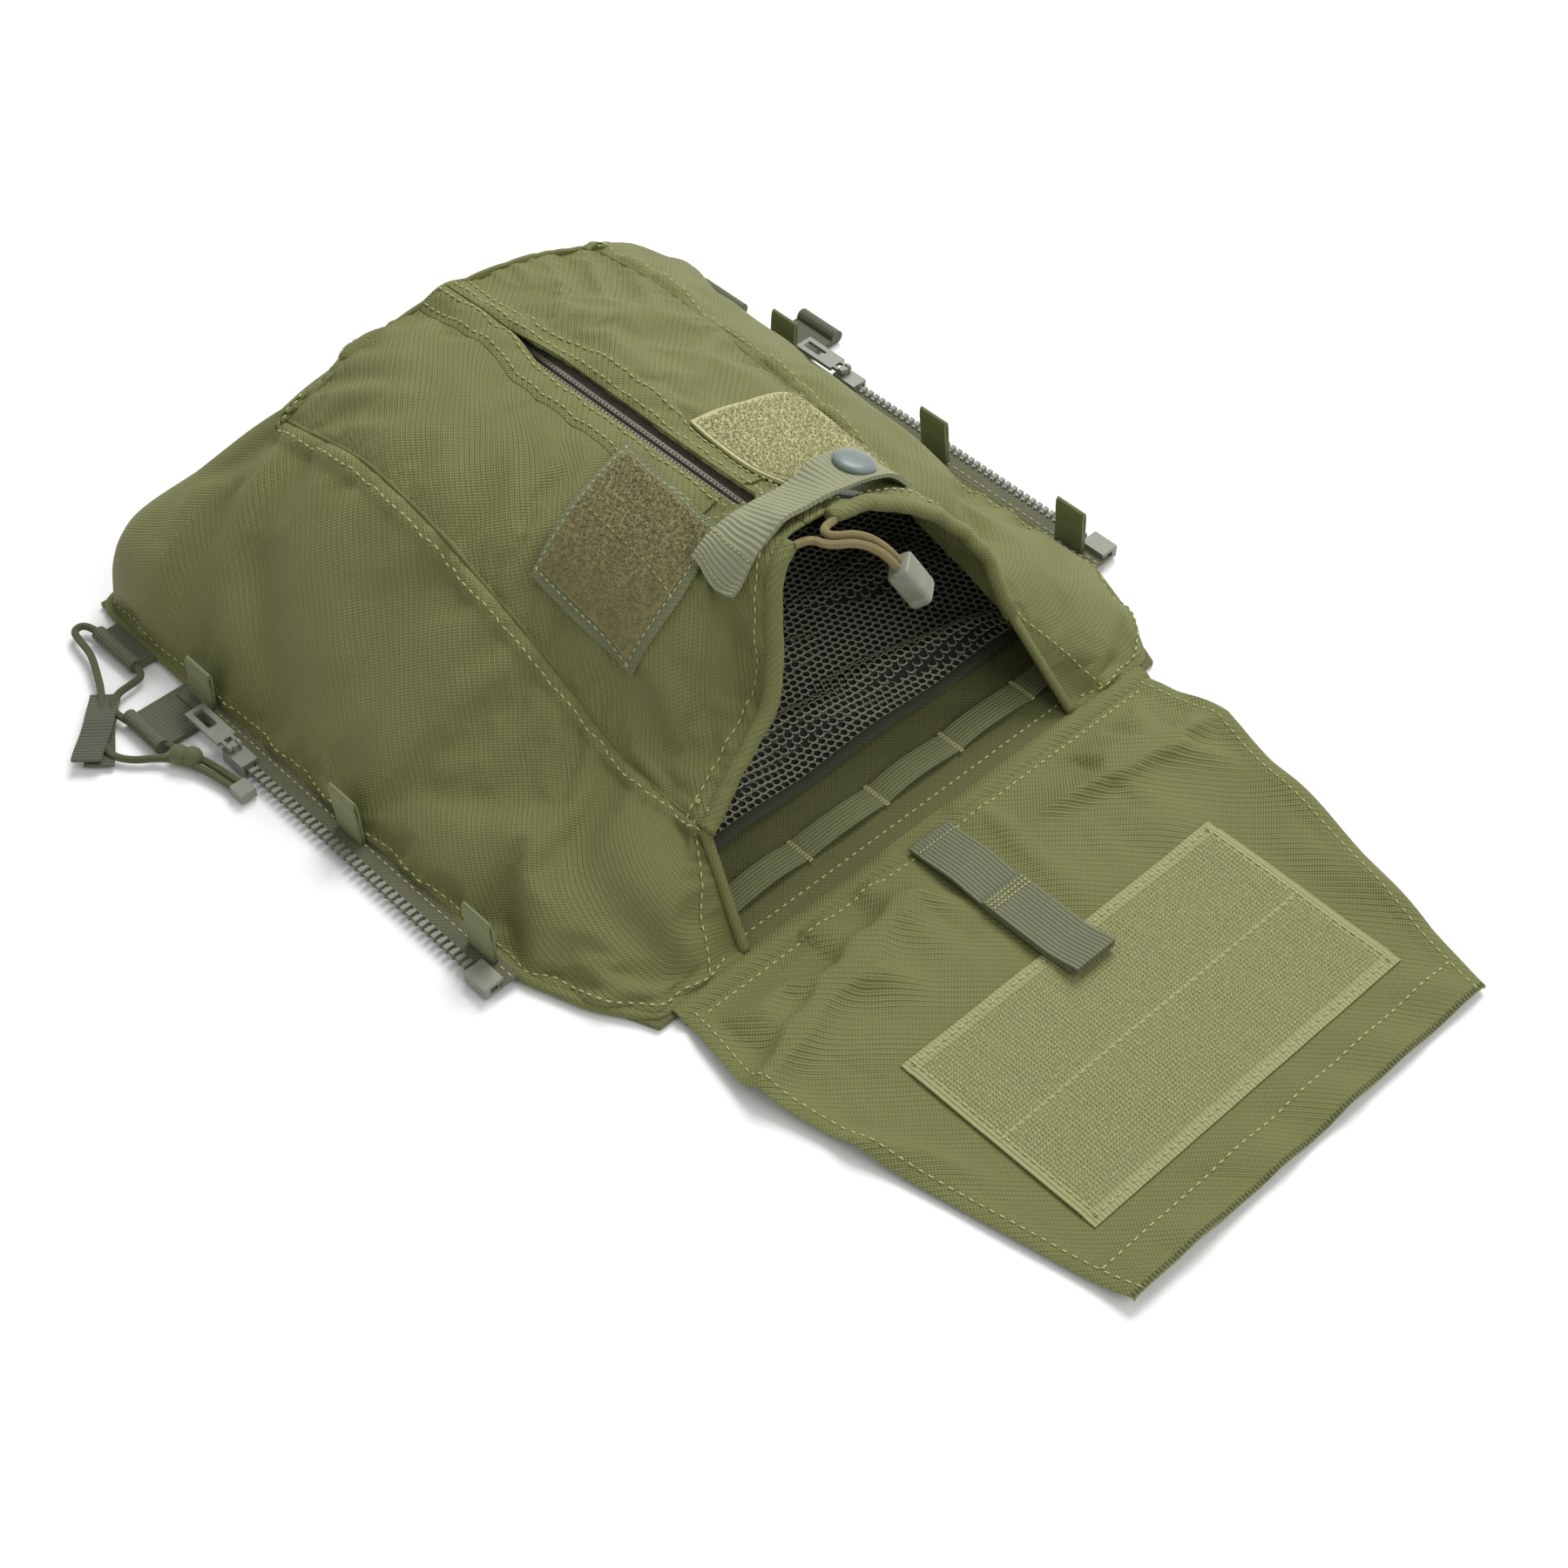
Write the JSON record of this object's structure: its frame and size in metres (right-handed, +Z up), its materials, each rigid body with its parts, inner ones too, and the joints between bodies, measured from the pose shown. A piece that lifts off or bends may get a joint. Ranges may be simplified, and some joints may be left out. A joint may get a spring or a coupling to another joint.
{
  "type": "zip-on pack panel",
  "caption": "Soft olive cloth pouch that zips onto the back of a vest, lying front up with its mouth and lid open.",
  "frame": {"origin": "middle of the back panel, on its outer face, which is the surface that the pack lies on", "axes": "+Z up out of the back panel towards the front, +X across the pack, +Y from the lid to the pack's bottom edge"},
  "size_m": [0.3639, 0.4654, 0.1124],
  "materials": {
    "body_cloth": "coated twill-faced nylon, soft sheen",
    "mesh": "open knitted polyester mesh",
    "olive_webbing": "narrow woven nylon webbing",
    "grey_webbing": "ribbed woven nylon webbing",
    "hook_tape": "hook fastener tape",
    "pile_brown": "loop fastener tape, looped pile",
    "pile_light": "loop fastener tape, looped pile",
    "zip_tape": "woven polyester zip tape",
    "zip_coil": "nylon coil",
    "zip_plastic": "moulded acetal, matt",
    "zip_metal": "painted zinc casting, satin",
    "snap_paint": "painted brass, satin",
    "tan_cord": "braided shock cord",
    "olive_cord": "braided shock cord",
    "thread": "bonded polyester thread"
  },
  "bodies": {
    "pack": {"back_panel": "body_cloth", "bottom_gusset": "body_cloth", "cord_knot": "olive_cord", "cord_tip": "zip_plastic", "corner_web_far_left": "grey_webbing", "corner_web_far_right": "grey_webbing", "corner_web_near_left": "grey_webbing", "corner_web_near_right": "grey_webbing", "daisy_chain": "olive_webbing", "daisy_chain_tacks": "thread", "drawcord_in_hem": "tan_cord", "front_panel_left": "body_cloth", "front_panel_right": "body_cloth", "front_zip_coil": "zip_coil", "front_zip_tapes": "zip_tape", "loop_patch_left": "pile_brown", "loop_patch_right": "pile_light", "mesh_binding": "mesh", "mesh_pocket": "mesh", "mouth_hem_left": "body_cloth", "mouth_hem_right": "body_cloth", "pull_tab": "grey_webbing", "shock_cord_inner": "olive_cord", "shock_cord_outer": "olive_cord", "side_gusset_left": "body_cloth", "side_gusset_right": "body_cloth", "side_loops_left": "olive_webbing", "side_loops_right": "olive_webbing", "side_zip_box_left": "zip_plastic", "side_zip_box_right": "zip_plastic", "side_zip_tape_left": "zip_tape", "side_zip_tape_right": "zip_tape", "side_zip_teeth_left": "zip_plastic", "side_zip_teeth_right": "zip_plastic", "snap_post": "snap_paint", "snap_strap_anchor": "grey_webbing", "snap_stud": "snap_paint", "zip_end_bridge": "body_cloth", "zip_placket_left": "body_cloth", "zip_placket_right": "body_cloth"},
    "lid_base": {"lid_base": "body_cloth", "hook_patch_base": "hook_tape"},
    "lid_tip": {"lid_tip": "body_cloth", "hook_patch_tip": "hook_tape"},
    "hang_strap": {"hang_strap": "grey_webbing"},
    "snap_strap": {"snap_strap": "grey_webbing", "snap_cap": "snap_paint", "snap_socket": "snap_paint"},
    "drawcord_pull": {"drawcord_strand_left": "tan_cord", "drawcord_strand_right": "tan_cord", "cord_end": "zip_plastic", "cord_end_cap": "zip_plastic"},
    "front_slider": {"front_zip_slider": "zip_metal"},
    "front_pull": {"front_zip_pull": "zip_metal"},
    "left_slider": {"side_zip_slider_left": "zip_metal"},
    "left_pull": {"side_zip_pull_left": "zip_metal"},
    "right_slider": {"side_zip_slider_right": "zip_metal"},
    "right_pull": {"side_zip_pull_right": "zip_metal"}
  },
  "joints": [
    {"name": "lid_seam", "type": "hinge", "parent": "pack", "child": "lid_base", "pos_m": [0, -0.144, 0.001], "axis": [-1, 0, 0], "range_deg": [0, 92]},
    {"name": "lid_fold", "type": "hinge", "parent": "lid_base", "child": "lid_tip", "pos_m": [0, -0.25, 0.0012], "axis": [-1, 0, 0], "range_deg": [0, 78]},
    {"name": "hang_strap_seam", "type": "hinge", "parent": "lid_base", "child": "hang_strap", "pos_m": [0, -0.1465, 0.0031], "axis": [1, 0, 0], "range_deg": [-60, 0]},
    {"name": "snap_strap_seam", "type": "hinge", "parent": "pack", "child": "snap_strap", "pos_m": [-0.027, -0.072, 0.1024], "axis": [0, 0.94, -0.3412], "range_deg": [-110, 0]},
    {"name": "drawcord_swing", "type": "hinge", "parent": "pack", "child": "drawcord_pull", "pos_m": [0, -0.0886, 0.106], "axis": [1, 0, 0], "range_deg": [-35, 8], "stiffness_Nm_per_rad": 0.02},
    {"name": "front_slider_slide", "type": "slide", "parent": "pack", "child": "front_slider", "axis": [0, 1, 0], "range_m": [-0.13, 0]},
    {"name": "front_pull_hinge", "type": "hinge", "parent": "front_slider", "child": "front_pull", "pos_m": [0, 0.0956, 0.09744], "axis": [-1, 0, 0], "range_deg": [0, 150]},
    {"name": "left_slider_slide", "type": "slide", "parent": "pack", "child": "left_slider", "axis": [0, 1, 0], "range_m": [-0.1235, 0]},
    {"name": "left_pull_hinge", "type": "hinge", "parent": "left_slider", "child": "left_pull", "pos_m": [-0.1505, 0.049, 0.008], "axis": [1, 0, 0], "range_deg": [0, 175]},
    {"name": "right_slider_slide", "type": "slide", "parent": "pack", "child": "right_slider", "axis": [0, 1, 0], "range_m": [-0.1235, 0]},
    {"name": "right_pull_hinge", "type": "hinge", "parent": "right_slider", "child": "right_pull", "pos_m": [0.1505, 0.049, 0.008], "axis": [1, 0, 0], "range_deg": [0, 175]}
  ]
}
